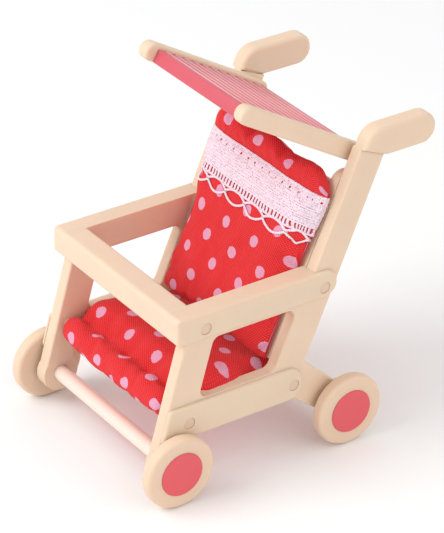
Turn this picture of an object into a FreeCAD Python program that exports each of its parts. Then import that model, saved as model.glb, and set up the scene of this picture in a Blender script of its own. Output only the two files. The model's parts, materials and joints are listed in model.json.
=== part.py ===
import FreeCAD, Part
import operator
import os
import Sketcher

# Small doll stroller in moulded plastic with a sewn seat: millimetres, X across, Y towards the handles,
# Z up. Outlines are drawn from the front axle (Y = 0) and the ground (Z = 0), and every sub-part is
# then moved so that the middle of the whole stroller's footprint lies on the origin.

doc = FreeCAD.newDocument("doll_stroller")
sheet = doc.addObject("Spreadsheet::Sheet", "Sizes")

# name, millimetres (or degrees, or a slope), what it is
SIZES = (
    ("wheel_radius", 7.5, "tread radius"),
    ("wheel_width", 2.8, "wheel thickness"),
    ("wheel_edge", 0.8, "rounding of the tread's edges"),
    ("wheel_gap", 0.35, "room between the lower rail and the wheel"),
    ("wheelbase", 39.84, "front axle to rear axle"),
    ("cap_radius", 4.6, "hub cap radius"),
    ("cap_seat", 0.9, "depth of the cap's seat in the wheel"),
    ("cap_proud", 0.3, "cap standing out of the wheel"),
    ("cap_edge", 0.27, "rounding of the cap's rim"),
    ("axle_radius", 1.6, "axle rod radius"),
    ("spigot_radius", 1.0, "axle end pressed into the wheel"),
    ("spigot_length", 1.6, "length of the axle end"),
    ("running_gap", 0.06, "radial gap of a turning fit"),
    ("seat_gap", 0.05, "gap of a fixed tenon or slot"),
    ("eye_radius", 3.9, "boss round the axle"),
    ("frame_inside", 18.15, "middle plane to the side frame's inner face"),
    ("frame_thick", 2.8, "side frame thickness"),
    ("leg_foot", -3.9, "front edge of the front leg at axle height"),
    ("leg_slope", 0.274, "front leg's run per rise"),
    ("leg_depth", 6.2, "front leg, front to back"),
    ("window_leg", 6.85, "front leg's edge to the window"),
    ("sill_rise", 0.2, "window sill above the lower rail"),
    ("head_drop", 1.0, "window head below the armrest"),
    ("window_round", 1.6, "window corner radius"),
    ("plate_rise", 0.1, "underside of the plate between the legs, above the rail's underside"),
    ("post_front", 16.145, "front edge of the post, drawn down to the ground"),
    ("post_depth", 6.65, "post, front to back"),
    ("post_lean", 0.4235, "post's run per rise"),
    ("stile_extra", 0.8, "stile under the armrest beyond the post"),
    ("knee_height", 19.75, "where the rear leg leaves the post"),
    ("rear_leg_out", 2.15, "rear leg's upper edge behind the axle"),
    ("rear_leg_up", 2.38, "rear leg's upper edge above the axle"),
    ("knee_start", 28.35, "front of the rear leg under the plate"),
    ("arm_nose", 2.34, "armrest and bar ahead of the leg's top"),
    ("arm_bottom", 33.45, "underside of the armrest"),
    ("arm_height", 5.7, "armrest height"),
    ("arm_tail", 3.0, "armrest's rounded end behind its rear pin"),
    ("arm_wall", 0.7, "armrest wall inside the side frame"),
    ("lap_thick", 0.8, "cheek lapping the outside of the frame"),
    ("cheek_edge", 0.56, "rounding of a cheek's outer edges"),
    ("tongue_set", 1.29, "front of the tongue inside the armrest, behind the leg's front edge"),
    ("tongue_rise", 3.9, "height of the tongue"),
    ("bar_depth", 5.4, "front bar, front to back"),
    ("tenon_margin", 1.6, "front bar's tenon inside the bar's top and underside"),
    ("tenon_length", 2.0, "front bar's tenon"),
    ("rail_back", 30.25, "rear end of the lower rail"),
    ("rail_bottom", 12.55, "underside of the lower rail"),
    ("rail_height", 7.2, "lower rail height"),
    ("pin_radius", 1.25, "pin radius"),
    ("pin_sunk", 0.12, "pin end below the surface"),
    ("arm_pin_lead", 4.06, "front armrest pin behind the leg's front edge"),
    ("arm_pin_set", 3.5, "rear armrest pin behind the post's front edge"),
    ("arm_pin_rise", 2.2, "armrest pins above the armrest's underside"),
    ("rail_pin_lead", 5.37, "front rail pin behind the leg's front edge"),
    ("rail_pin_end", 2.2, "rear rail pin ahead of the rail's end"),
    ("rail_pin_rise", 3.35, "rail pins above the rail's underside"),
    ("pin_edge", 0.18, "rounding of a pin's end"),
    ("grip_set", 0.15, "grip's inner face outside the frame's"),
    ("grip_thick", 3.7, "grip thickness"),
    ("grip_bottom", 60.35, "underside of the grip"),
    ("grip_height", 6.4, "grip height"),
    ("grip_reach", 11.447, "rear end of the grip behind the neck"),
    ("grip_bend", 4.0, "outer bend of the grip"),
    ("neck_tenon", 2.4, "rise of the post's tenon in the grip"),
    ("neck_tenon_half", 1.4, "half the depth of that tenon"),
    ("tenon_wall", 0.6, "tenon inside the frame's faces"),
    ("slat_thick", 2.4, "back slat thickness"),
    ("slat_rise", 8.35, "lower end of the back slat above the rail's underside"),
    ("slat_drop", 1.9, "slat's top end below the canopy pivot"),
    ("rod_radius", 1.2, "cross rod radius"),
    ("rod_seat", 1.4, "cross rod's end in the frame"),
    ("seat_rod_front_rise", 5.75, "front seat rod above the rail's underside"),
    ("seat_rod_back_set", 1.7, "rear seat rod behind the post's front line"),
    ("seat_rod_back_rise", 4.35, "rear seat rod above the rail's underside"),
    ("back_rod_low_drop", 6.45, "lower back rod below the armrest"),
    ("back_rod_high_drop", 7.6, "upper back rod below the canopy pivot"),
    ("hood_pivot_drop", 0.75, "canopy pivot below the grip, in the middle of the post"),
    ("hood_pitch", 30.6, "canopy slope in degrees"),
    ("hood_length", 29.4, "pivot to the centre of the canopy arm's front end"),
    ("hood_boss_height", 0.65, "boss standing in from the post"),
    ("hood_arm_thick", 2.8, "canopy arm thickness"),
    ("hood_arm_half", 1.85, "half the height of the canopy arm"),
    ("hood_edge", 0.63, "rounding of the canopy arm's long edges"),
    ("hood_pin_radius", 0.8, "canopy pivot pin radius"),
    ("hood_pin_seat", 1.6, "pivot pin's end in the post"),
    ("hood_boss_radius", 1.7, "boss round the pivot on the post"),
    ("hood_gap", 0.3, "room between the canopy arm and the boss"),
    ("hood_panel_back", 0.6, "panel behind the pivot"),
    ("hood_panel_front", 28.8, "panel ahead of the pivot"),
    ("hood_panel_top", 1.15, "panel's face above the arm's centre line"),
    ("hood_panel_under", 1.75, "panel's lip below the centre line"),
    ("hood_panel_skin", 1.3, "thickness of the panel between its lips"),
    ("hood_lip", 2.0, "thickness of the panel's front and rear lips"),
    ("pad_gap", 0.35, "room round the sewn pads"),
    ("seat_pad_set", 1.16, "front of the seat roll behind the leg's front edge"),
    ("seat_pad_bottom_rise", 1.65, "underside of the seat pad above the rail's underside"),
    ("seat_pad_roll_rise", 8.75, "top of the seat roll, from the same level"),
    ("seat_roll", 2.8, "rounding of the seat roll"),
    ("seat_pad_crown_rise", 10.05, "highest line of the seat, from the same level"),
    ("seat_pad_crown_set", 8.3, "highest line behind the front of the roll"),
    ("seat_pad_length", 28.9, "seat pad, front to back"),
    ("seat_pad_rear_rise", 6.15, "rear end's top, from the same level"),
    ("tunnel_gap", 0.02, "room round a seat rod in its tunnel"),
    ("back_pad_depth", 3.65, "back pad, front to back, with its gap"),
    ("back_pad_start", 2.0, "lower end of the back pad below the seat's highest line"),
    ("back_pad_drop", 2.4, "top of the back pad below the canopy pivot"),
    ("back_roll", 1.25, "rounding of the back pad's top"),
    ("lace_height", 9.8, "lace band, top to bottom"),
    ("lace_drop", 4.5, "upper edge of the lace below the pad's top"),
    ("lace_thick", 0.35, "lace thickness"),
    ("lace_gap", 0.03, "lace in front of the pad"),
    ("lace_inset", 0.4, "lace short of the pad's side"),
    ("soft_edge", 0.4, "small rounding of moulded edges"),
    ("bar_edge", 0.9, "rounding of armrest, bar and grip edges"),
)
for row, (alias, value, note) in enumerate(SIZES, start=1):
    sheet.set("A%d" % row, note)
    sheet.set("B%d" % row, str(value))
    sheet.setAlias("B%d" % row, alias)
doc.recompute()

SIGNS = {"+": operator.add, "-": operator.sub, "*": operator.mul, "/": operator.truediv}


class Size:
    """A length that carries its number and the sheet expression that gives it."""

    def __init__(self, number, text):
        self.number = number
        self.text = text

    def join(self, sign, other, swapped=False):
        other = other if isinstance(other, Size) else Size(other, "(%s)" % other)
        left, right = (other, self) if swapped else (self, other)
        number = SIGNS[sign](left.number, right.number)
        return Size(number, "(%s %s %s)" % (left.text, sign, right.text))

    def __add__(self, other):
        return self.join("+", other)

    def __radd__(self, other):
        return self.join("+", other, swapped=True)

    def __sub__(self, other):
        return self.join("-", other)

    def __rsub__(self, other):
        return self.join("-", other, swapped=True)

    def __mul__(self, other):
        return self.join("*", other)

    def __rmul__(self, other):
        return self.join("*", other, swapped=True)

    def __truediv__(self, other):
        return self.join("/", other)

    def __neg__(self):
        return self.join("*", -1)


class Sizes:
    """The sheet's cells by name."""


size = Sizes()
for alias, value, note in SIZES:
    setattr(size, alias, Size(getattr(sheet, alias), "Sizes." + alias))

SIDES = {"left": 1, "right": -1}
NOTHING = Size(0, "0")
FIT = 0.002  # two lengths closer than this are the same
PASS = 1  # how far an open cut runs past the piece
ROUND_END = 0.48  # rounding of a bar's end as a share of its height
TENON_ROOT = -0.1  # where a neck tenon starts inside the post, as a share of its rise


def leg_front(height):
    """Front edge of the front leg at a height."""
    return size.leg_foot + (height - size.wheel_radius) * size.leg_slope


def post_edge(height):
    """Front edge of the leaning post at a height."""
    return size.post_front + height * size.post_lean


# --- levels and places that several pieces share
frame_outside = size.frame_inside + size.frame_thick
cheek_outside = frame_outside + size.lap_thick
wheel_inside = cheek_outside + size.wheel_gap
rear_axle = size.wheelbase
axle_height = size.wheel_radius
rail_top = size.rail_bottom + size.rail_height
plate_bottom = size.rail_bottom + size.plate_rise
window_bottom = rail_top + size.sill_rise
window_top = size.arm_bottom - size.head_drop
leg_top = leg_front(size.arm_bottom)
arm_top = size.arm_bottom + size.arm_height
arm_front = leg_top - size.arm_nose
tongue_start = leg_top + size.tongue_set
tongue_top = size.arm_bottom + size.tongue_rise
arm_pin_height = size.arm_bottom + size.arm_pin_rise
arm_pin_back = post_edge(arm_pin_height) + size.arm_pin_set
arm_back = arm_pin_back + size.arm_tail
rail_pin_height = size.rail_bottom + size.rail_pin_rise
neck_step = size.post_depth / (size.post_lean * size.post_lean + 1)
neck_rear = (post_edge(size.grip_bottom) + size.post_depth, size.grip_bottom)
neck_front = (neck_rear[0] - neck_step, neck_rear[1] + neck_step * size.post_lean)
knee = (post_edge(size.knee_height) + size.post_depth, size.knee_height)
grip_inside = size.frame_inside + size.grip_set
grip_back = neck_rear[0] + size.grip_reach
pivot_height = size.grip_bottom - size.hood_pivot_drop
hood_pivot = (post_edge(pivot_height) + size.post_depth / 2, pivot_height)
boss_face = size.frame_inside - size.hood_boss_height
hood_arm_outside = boss_face - size.hood_gap
hood_arm_inside = hood_arm_outside - size.hood_arm_thick
seat_bottom = size.rail_bottom + size.seat_pad_bottom_rise
seat_front = leg_front(seat_bottom) + size.seat_pad_set
seat_crown = size.rail_bottom + size.seat_pad_crown_rise
back_bottom = seat_crown - size.back_pad_start
back_top = pivot_height - size.back_pad_drop
back_half = size.frame_inside - size.arm_wall - size.pad_gap
lace_high = back_top - size.lace_drop
lace_low = lace_high - size.lace_height
footprint_shift = (size.wheel_radius - grip_back) / 2


def mid_post(height):
    """A point on the post's centre line."""
    return post_edge(height) + size.post_depth / 2, height


seat_rod_front = size.rail_bottom + size.seat_rod_front_rise
seat_rod_back = size.rail_bottom + size.seat_rod_back_rise
rod_places = {
    "seat_front_rod": (leg_front(seat_rod_front) + size.leg_depth / 2, seat_rod_front),
    "seat_rear_rod": (post_edge(seat_rod_back) + size.seat_rod_back_set, seat_rod_back),
    "back_lower_rod": mid_post(size.arm_bottom - size.back_rod_low_drop),
    "back_upper_rod": mid_post(pivot_height - size.back_rod_high_drop),
}
arm_pins = ((leg_top + size.arm_pin_lead, arm_pin_height), (arm_pin_back, arm_pin_height))
rail_pins = (
    (leg_front(rail_pin_height) + size.rail_pin_lead, rail_pin_height),
    (size.rail_back - size.rail_pin_end, rail_pin_height),
)


def make_body(label, turned=False):
    """An empty body in the stroller's place; a turned one lies along the canopy from its pivot."""
    body = doc.addObject("PartDesign::Body", label)
    body.Label = label
    if turned:
        pitch = FreeCAD.Rotation(FreeCAD.Vector(1, 0, 0), -size.hood_pitch.number)
        body.Placement = FreeCAD.Placement(FreeCAD.Vector(), pitch)
        body.setExpression("Placement.Rotation.Angle", (-size.hood_pitch).text)
        body.setExpression("Placement.Base.y", (hood_pivot[0] + footprint_shift).text)
        body.setExpression("Placement.Base.z", pivot_height.text)
    else:
        body.setExpression("Placement.Base.y", footprint_shift.text)
    return body


def plane_of(body, role):
    """One of a body's own origin planes."""
    return next(p for p in body.Origin.OriginFeatures if p.Role == role)


def side_sketch(body, label, offset):
    """A sketch in the stroller's side view, standing at an X offset."""
    sketch = body.newObject("Sketcher::SketchObject", body.Label + "_" + label)
    sketch.AttachmentSupport = (plane_of(body, "YZ_Plane"), [""])
    sketch.MapMode = "FlatFace"
    sketch.setExpression("AttachmentOffset.Base.z", as_size(offset).text)
    return sketch


def as_size(value):
    return value if isinstance(value, Size) else Size(value, "(%s)" % value)


def hold_point(sketch, geometry, which, point):
    """Ties one point of a sketch to the two lengths that place it."""
    for kind, length in zip(("DistanceX", "DistanceY"), point):
        length = as_size(length)
        constraint = Sketcher.Constraint(kind, -1, 1, geometry, which, length.number)
        index = sketch.addConstraint(constraint)
        sketch.setExpression("Constraints[%d]" % index, length.text)


def draw_outline(sketch, points):
    """A closed outline of straight edges through (Y, Z) points."""
    places = [FreeCAD.Vector(as_size(y).number, as_size(z).number, 0) for y, z in points]
    count = len(points)
    for i in range(count):
        sketch.addGeometry(Part.LineSegment(places[i], places[(i + 1) % count]), False)
    for i in range(count):
        sketch.addConstraint(Sketcher.Constraint("Coincident", i, 2, (i + 1) % count, 1))
    for i in range(count):
        hold_point(sketch, i, 1, points[i])


def draw_circle(sketch, centre, radius):
    """A circle about a (Y, Z) centre."""
    place = FreeCAD.Vector(as_size(centre[0]).number, as_size(centre[1]).number, 0)
    radius = as_size(radius)
    circle = Part.Circle(place, FreeCAD.Vector(0, 0, 1), radius.number)
    index = sketch.addGeometry(circle, False)
    hold_point(sketch, index, 3, centre)
    constraint = sketch.addConstraint(Sketcher.Constraint("Radius", index, radius.number))
    sketch.setExpression("Constraints[%d]" % constraint, radius.text)


def start_x(side, inner, outer):
    """Where a plate of one side starts, so that it always grows towards +X."""
    return inner if side > 0 else -outer


def add_plate(body, label, side, inner, outer, points=None, circles=()):
    """A pad of an outline or circles between two distances from the middle plane."""
    sketch = side_sketch(body, label + "_outline", start_x(side, inner, outer))
    if points:
        draw_outline(sketch, points)
    for centre, radius in circles:
        draw_circle(sketch, centre, radius)
    pad = body.newObject("PartDesign::Pad", body.Label + "_" + label)
    pad.Profile = sketch
    pad.setExpression("Length", (outer - inner).text)
    doc.recompute()
    return pad


def cut_plate(body, label, side, inner, outer, points=None, circles=()):
    """A pocket between two distances from the middle plane, cut towards +X."""
    before = body.Shape.Volume
    sketch = side_sketch(body, label + "_outline", start_x(side, inner, outer))
    if points:
        draw_outline(sketch, points)
    for centre, radius in circles:
        draw_circle(sketch, centre, radius)
    pocket = body.newObject("PartDesign::Pocket", body.Label + "_" + label)
    pocket.Profile = sketch
    pocket.Reversed = True
    pocket.setExpression("Length", (outer - inner).text)
    doc.recompute()
    if not body.Shape.Volume < before:
        raise ValueError(pocket.Label + " cuts nothing")
    return pocket


def round_edges(body, label, radius, wanted):
    """A fillet of the edges of a body's tip that a test picks out, in the body's own frame."""
    base = body.Tip
    names = ["Edge%d" % (i + 1) for i, e in enumerate(base.Shape.Edges) if wanted(e)]
    if not names:
        raise ValueError(label + " finds no edge on " + body.Label)
    fillet = body.newObject("PartDesign::Fillet", body.Label + "_" + label)
    fillet.Base = (base, names)
    fillet.setExpression("Radius", as_size(radius).text)
    doc.recompute()
    return fillet


def along_x(*points):
    """A test for edges that run across the stroller through given (Y, Z) points."""
    places = [(as_size(y).number, as_size(z).number) for y, z in points]

    def test(edge):
        a, b = edge.Vertexes[0].Point, edge.Vertexes[-1].Point
        if abs(a.y - b.y) > FIT or abs(a.z - b.z) > FIT or abs(a.x - b.x) < FIT:
            return False
        return any(abs(a.y - y) < FIT and abs(a.z - z) < FIT for y, z in places)

    return test


def on_face(*distances):
    """A test for edges that lie flat in a plane at one of some X distances."""
    planes = [as_size(d).number for d in distances]

    def test(edge):
        box = edge.BoundBox
        return any(abs(box.XMin - x) < FIT and abs(box.XMax - x) < FIT for x in planes)

    return test


# --- side frames: front leg, plate with a window, stile, leaning post and rear leg in one moulding


def neck_tenon(grow):
    """The post's tenon across the neck, larger all round by a gap for its socket."""
    mid = ((neck_front[0] + neck_rear[0]) / 2, (neck_front[1] + neck_rear[1]) / 2)
    reach = size.neck_tenon_half + grow
    rise = size.neck_tenon + grow
    corners = ((-1, TENON_ROOT), (1, TENON_ROOT), (1, 1), (-1, 1))
    points = []
    for across, up in corners:
        y = mid[0] + reach * across + size.post_lean * rise * up
        z = mid[1] - reach * across * size.post_lean + rise * up
        points.append((y, z))
    return points


def make_side_frame(name, side):
    body = make_body("side_frame_" + name)
    inner, outer = size.frame_inside, frame_outside
    outline = (
        (leg_front(axle_height), axle_height),
        (leg_front(size.arm_bottom), size.arm_bottom),
        (tongue_start, size.arm_bottom),
        (tongue_start, tongue_top),
        (post_edge(tongue_top), tongue_top),
        neck_front,
        neck_rear,
        knee,
        (rear_axle + size.rear_leg_out, axle_height + size.rear_leg_up),
        (rear_axle - size.rear_leg_out, axle_height - size.rear_leg_up),
        (size.knee_start, plate_bottom),
        (leg_front(plate_bottom) + size.leg_depth, plate_bottom),
        (leg_front(axle_height) + size.leg_depth, axle_height),
    )
    add_plate(body, "plate", side, inner, outer, outline)
    front_window = [(leg_front(z) + size.window_leg, z) for z in (window_bottom, window_top)]
    rear_window = [(post_edge(z) - size.stile_extra, z) for z in (window_top, window_bottom)]
    window = front_window + rear_window
    cut_plate(body, "window", side, inner, outer, window)
    round_edges(body, "window_corners", size.window_round, along_x(*window))
    hollow = (outline[11], outline[10])
    round_edges(body, "leg_corners", size.window_round, along_x(*hollow))
    for label, centre in (("front", 0), ("rear", rear_axle)):
        eye = [((as_size(centre), axle_height), size.eye_radius)]
        add_plate(body, label + "_eye", side, inner, outer, circles=eye)
    flat = on_face(side * inner, side * outer)

    def plate_edge(edge):
        """Edges of the plate's outline and window, without the bosses round the axles."""
        boss = hasattr(edge.Curve, "Radius") and abs(edge.Curve.Radius - size.eye_radius.number) < FIT
        return flat(edge) and not boss

    round_edges(body, "soft_edges", size.soft_edge, plate_edge)
    for label, centre in (("front", 0), ("rear", rear_axle)):
        bore = [((as_size(centre), axle_height), size.axle_radius + size.running_gap)]
        cut_plate(body, label + "_bore", side, inner, outer, circles=bore)
    holes = [(place, size.pin_radius) for place in arm_pins + rail_pins]
    cut_plate(body, "pin_holes", side, inner, outer, circles=holes)
    sockets = [(place, size.rod_radius) for place in rod_places.values()]
    cut_plate(body, "rod_sockets", side, inner, inner + size.rod_seat, circles=sockets)
    boss = [(hood_pivot, size.hood_boss_radius)]
    add_plate(body, "pivot_boss", side, boss_face, inner, circles=boss)
    pivot = [(hood_pivot, size.hood_pin_radius + size.running_gap)]
    pivot_end = inner + size.hood_pin_seat + size.running_gap
    cut_plate(body, "pivot_socket", side, boss_face, pivot_end, circles=pivot)
    add_plate(body, "neck_tenon", side, inner + size.tenon_wall, outer - size.tenon_wall,
              neck_tenon(NOTHING))


# --- armrests: a bar in front of the post, and a cheek lapping the outside of the frame
def make_armrest(name, side):
    body = make_body("armrest_" + name)
    inside = size.frame_inside - size.arm_wall
    cheek = (
        (arm_front, size.arm_bottom),
        (arm_front, arm_top),
        (arm_back, arm_top),
        (arm_back, size.arm_bottom),
    )
    add_plate(body, "cheek", side, frame_outside, cheek_outside, cheek)
    bar = (
        (arm_front, size.arm_bottom),
        (arm_front, arm_top),
        (post_edge(arm_top) - size.seat_gap, arm_top),
        (post_edge(size.arm_bottom) - size.seat_gap, size.arm_bottom),
    )
    add_plate(body, "bar", side, inside, frame_outside, bar)
    round_edges(body, "rear_end", size.arm_height * ROUND_END, along_x(*cheek[2:]))
    round_edges(body, "front_end", size.bar_edge, along_x(*cheek[:2]))
    round_edges(body, "long_edges", size.cheek_edge, on_face(side * cheek_outside))
    slot_front = tongue_start - size.seat_gap
    slot_top = tongue_top + size.seat_gap
    slot = (
        (slot_front, size.arm_bottom - PASS),
        (slot_front, slot_top),
        (post_edge(slot_top) + PASS, slot_top),
        (post_edge(size.arm_bottom) + PASS, size.arm_bottom - PASS),
    )
    slot_inner = size.frame_inside - size.seat_gap
    cut_plate(body, "slot", side, slot_inner, frame_outside, slot)
    holes = [(place, size.pin_radius) for place in arm_pins]
    cut_plate(body, "pin_holes", side, frame_outside, cheek_outside, circles=holes)
    cut_plate(body, "socket", side, inside, inside + size.tenon_length + size.seat_gap,
              bar_tenon(size.seat_gap))


def bar_tenon(grow):
    """Outline of the front bar's tenon, larger all round by a gap for its socket."""
    front = arm_front + size.bar_edge - grow
    rear = tongue_start - size.arm_wall + grow
    low = size.arm_bottom + size.tenon_margin - grow
    high = arm_top - size.tenon_margin + grow
    return (front, low), (front, high), (rear, high), (rear, low)


def make_front_bar():
    body = make_body("front_bar")
    half = size.frame_inside - size.arm_wall
    rear = arm_front + size.bar_depth
    section = (
        (arm_front, size.arm_bottom),
        (arm_front, arm_top),
        (rear, arm_top),
        (rear, size.arm_bottom),
    )
    add_plate(body, "bar", 1, -half, half, section)
    round_edges(body, "long_edges", size.bar_edge, along_x(*section))
    reach = half + size.tenon_length
    add_plate(body, "tenons", 1, -reach, reach, bar_tenon(NOTHING))


# --- lower rails: a rounded cheek on the outside of each frame, held by two pins
def make_lower_rail(name, side):
    body = make_body("lower_rail_" + name)
    outline = (
        (leg_front(size.rail_bottom), size.rail_bottom),
        (leg_front(rail_top), rail_top),
        (size.rail_back, rail_top),
        (size.rail_back, size.rail_bottom),
    )
    add_plate(body, "cheek", side, frame_outside, cheek_outside, outline)
    round_edges(body, "rear_end", size.rail_height * ROUND_END, along_x(*outline[2:]))
    round_edges(body, "front_end", size.bar_edge, along_x(*outline[:2]))
    round_edges(body, "long_edges", size.cheek_edge, on_face(side * cheek_outside))
    holes = [(place, size.pin_radius) for place in rail_pins]
    cut_plate(body, "pin_holes", side, frame_outside, cheek_outside, circles=holes)


# --- pins: two through a rail or armrest into the frame, their ends just below the surface
def make_pins(label, side, places):
    body = make_body(label)
    outer = cheek_outside - size.pin_sunk
    circles = [(place, size.pin_radius) for place in places]
    add_plate(body, "pins", side, size.frame_inside, outer, circles=circles)
    round_edges(body, "ends", size.pin_edge, on_face(side * outer))


# --- handle grips: bent rearwards at the neck, with a rounded end
def make_grip(name, side):
    body = make_body("handle_grip_" + name)
    outer = grip_inside + size.grip_thick
    top = size.grip_bottom + size.grip_height
    outline = (
        neck_rear,
        neck_front,
        (post_edge(top), top),
        (grip_back, top),
        (grip_back, size.grip_bottom),
    )
    add_plate(body, "bar", side, grip_inside, outer, outline)
    round_edges(body, "bend", size.grip_bend, along_x(outline[2]))
    round_edges(body, "end", size.grip_height * ROUND_END, along_x(*outline[3:]))
    round_edges(body, "long_edges", size.bar_edge, on_face(side * grip_inside, side * outer))
    socket_wall = size.tenon_wall - size.seat_gap
    cut_plate(body, "socket", side, size.frame_inside + socket_wall,
              frame_outside - socket_wall, neck_tenon(size.seat_gap))


# --- back slats: inside the posts, with a round top end under the canopy arm
def make_slat(name, side):
    body = make_body("back_slat_" + name)
    inner = size.frame_inside - size.slat_thick
    bottom = size.rail_bottom + size.slat_rise
    top = pivot_height - size.slat_drop
    top_rear = top - neck_step * size.post_lean
    outline = (
        (post_edge(bottom), bottom),
        (post_edge(top), top),
        (post_edge(top_rear) + size.post_depth, top_rear),
        (post_edge(bottom) + size.post_depth, bottom),
    )
    add_plate(body, "bar", side, inner, size.frame_inside, outline)
    round_edges(body, "top_end", neck_step / 2, along_x(*outline[1:3]))
    round_edges(body, "soft_edges", size.soft_edge, on_face(side * inner))
    holes = [(rod_places[rod], size.rod_radius) for rod in ("back_lower_rod", "back_upper_rod")]
    cut_plate(body, "rod_holes", side, inner, size.frame_inside, circles=holes)


def make_rod(label, place):
    """A round cross rod seated in both side frames."""
    body = make_body(label)
    reach = size.frame_inside + size.rod_seat
    add_plate(body, "rod", 1, -reach, reach, circles=[(place, size.rod_radius)])


# --- canopy: two arms with round ends, a lipped panel between them, and a pivot pin in each arm
def make_hood_arm(name, side):
    body = make_body("canopy_arm_" + name, turned=True)
    inner, outer = hood_arm_inside, hood_arm_outside
    half = size.hood_arm_half
    front = -(size.hood_length + half)
    outline = ((front, -half), (front, half), (half, half), (half, -half))
    add_plate(body, "bar", side, inner, outer, outline)
    round_edges(body, "round_ends", half * 2 * ROUND_END, along_x(*outline))
    round_edges(body, "soft_edges", size.hood_edge, on_face(side * inner, side * outer))
    bore = [((NOTHING, NOTHING), size.hood_pin_radius)]
    cut_plate(body, "pin_bore", side, inner, outer, circles=bore)


def make_hood_panel():
    body = make_body("canopy_panel", turned=True)
    half = hood_arm_inside
    under = -size.hood_panel_under
    skin = size.hood_panel_top - size.hood_panel_skin
    outline = (
        (-size.hood_panel_front, under),
        (-size.hood_panel_front, size.hood_panel_top),
        (size.hood_panel_back, size.hood_panel_top),
        (size.hood_panel_back, skin),
        (size.hood_lip - size.hood_panel_front, skin),
        (size.hood_lip - size.hood_panel_front, under),
    )
    add_plate(body, "panel", 1, -half, half, outline)
    round_edges(body, "lip_edges", size.soft_edge, along_x(*outline[:3]))


def make_hood_pin(name, side):
    body = make_body("canopy_pin_" + name, turned=True)
    outer = size.frame_inside + size.hood_pin_seat
    pin = [((NOTHING, NOTHING), size.hood_pin_radius)]
    add_plate(body, "pin", side, hood_arm_inside, outer, circles=pin)


# --- wheels: rounded tread, a blind bore for the axle's end and a seat for the hub cap
def revolve_profile(body, label, profile):
    """A revolution about the wheel's own axle of an outline given as (X, radius) points."""
    sketch = body.newObject("Sketcher::SketchObject", body.Label + "_" + label + "_outline")
    sketch.AttachmentSupport = (plane_of(body, "XZ_Plane"), [""])
    sketch.MapMode = "FlatFace"
    draw_outline(sketch, profile)
    turn = body.newObject("PartDesign::Revolution", body.Label + "_" + label)
    turn.Profile = sketch
    turn.ReferenceAxis = (sketch, ["H_Axis"])
    turn.Angle = 360
    doc.recompute()
    return turn


def place_on_axle(body, axle_y):
    body.setExpression("Placement.Base.y", (footprint_shift + axle_y).text)
    body.setExpression("Placement.Base.z", axle_height.text)


def make_wheel(end, name, side, axle_y):
    body = make_body("%s_wheel_%s" % (end, name))
    place_on_axle(body, axle_y)
    inner = wheel_inside
    outer = inner + size.wheel_width
    seat = outer - size.cap_seat
    bore_end = inner + size.spigot_length
    profile = (
        (inner * side, size.spigot_radius),
        (inner * side, size.wheel_radius),
        (outer * side, size.wheel_radius),
        (outer * side, size.cap_radius),
        (seat * side, size.cap_radius),
        (seat * side, NOTHING),
        (bore_end * side, NOTHING),
        (bore_end * side, size.spigot_radius),
    )
    revolve_profile(body, "tyre", profile)

    def tread_edge(edge):
        return (abs(edge.BoundBox.XLength) < FIT
                and abs(edge.BoundBox.ZMax - size.wheel_radius.number) < FIT)

    round_edges(body, "tread_edges", size.wheel_edge, tread_edge)


def make_hub_cap(end, name, side, axle_y):
    body = make_body("%s_hub_cap_%s" % (end, name))
    place_on_axle(body, axle_y)
    outer = wheel_inside + size.wheel_width
    seat = outer - size.cap_seat
    face = outer + size.cap_proud
    profile = (
        (seat * side, NOTHING),
        (seat * side, size.cap_radius),
        (face * side, size.cap_radius),
        (face * side, NOTHING),
    )
    revolve_profile(body, "disc", profile)

    def face_edge(edge):
        return (abs(edge.BoundBox.XLength) < FIT
                and abs(edge.BoundBox.XMax - face.number * side) < FIT)

    round_edges(body, "rim", size.cap_edge, face_edge)


def make_axle(end, axle_y):
    body = make_body(end + "_axle")
    place_on_axle(body, axle_y)
    rod_end = wheel_inside
    spigot_end = rod_end + size.spigot_length
    profile = (
        (-spigot_end, NOTHING),
        (-spigot_end, size.spigot_radius),
        (-rod_end, size.spigot_radius),
        (-rod_end, size.axle_radius),
        (rod_end, size.axle_radius),
        (rod_end, size.spigot_radius),
        (spigot_end, size.spigot_radius),
        (spigot_end, NOTHING),
    )
    revolve_profile(body, "rod", profile)


# --- sewn pads: the seat with its front roll, the back, and the lace band on the back
def make_seat_pad():
    body = make_body("seat_pad")
    half = size.frame_inside - size.pad_gap
    roll_top = size.rail_bottom + size.seat_pad_roll_rise
    crown_at = seat_front + size.seat_pad_crown_set
    rear = seat_front + size.seat_pad_length
    outline = (
        (seat_front, seat_bottom),
        (seat_front, roll_top),
        (crown_at - size.leg_depth / 2, roll_top),
        (crown_at, seat_crown),
        (rear, size.rail_bottom + size.seat_pad_rear_rise),
        (rear, seat_bottom),
    )
    add_plate(body, "cushion", 1, -half, half, outline)
    round_edges(body, "roll", size.seat_roll, along_x(*outline[:2]))
    tunnel = size.rod_radius + size.tunnel_gap
    tunnels = [(rod_places[rod], tunnel) for rod in ("seat_front_rod", "seat_rear_rod")]
    cut_plate(body, "rod_tunnels", 1, -half, half, circles=tunnels)


def pad_face(height):
    """Front surface of the back pad at a height."""
    return post_edge(height) - size.back_pad_depth


def make_back_pad():
    body = make_body("back_pad")
    outline = (
        (pad_face(back_bottom), back_bottom),
        (pad_face(back_top), back_top),
        (post_edge(back_top) - size.pad_gap, back_top),
        (post_edge(back_bottom) - size.pad_gap, back_bottom),
    )
    add_plate(body, "cushion", 1, -back_half, back_half, outline)
    round_edges(body, "top_roll", size.back_roll, along_x(*outline[1:3]))


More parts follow.
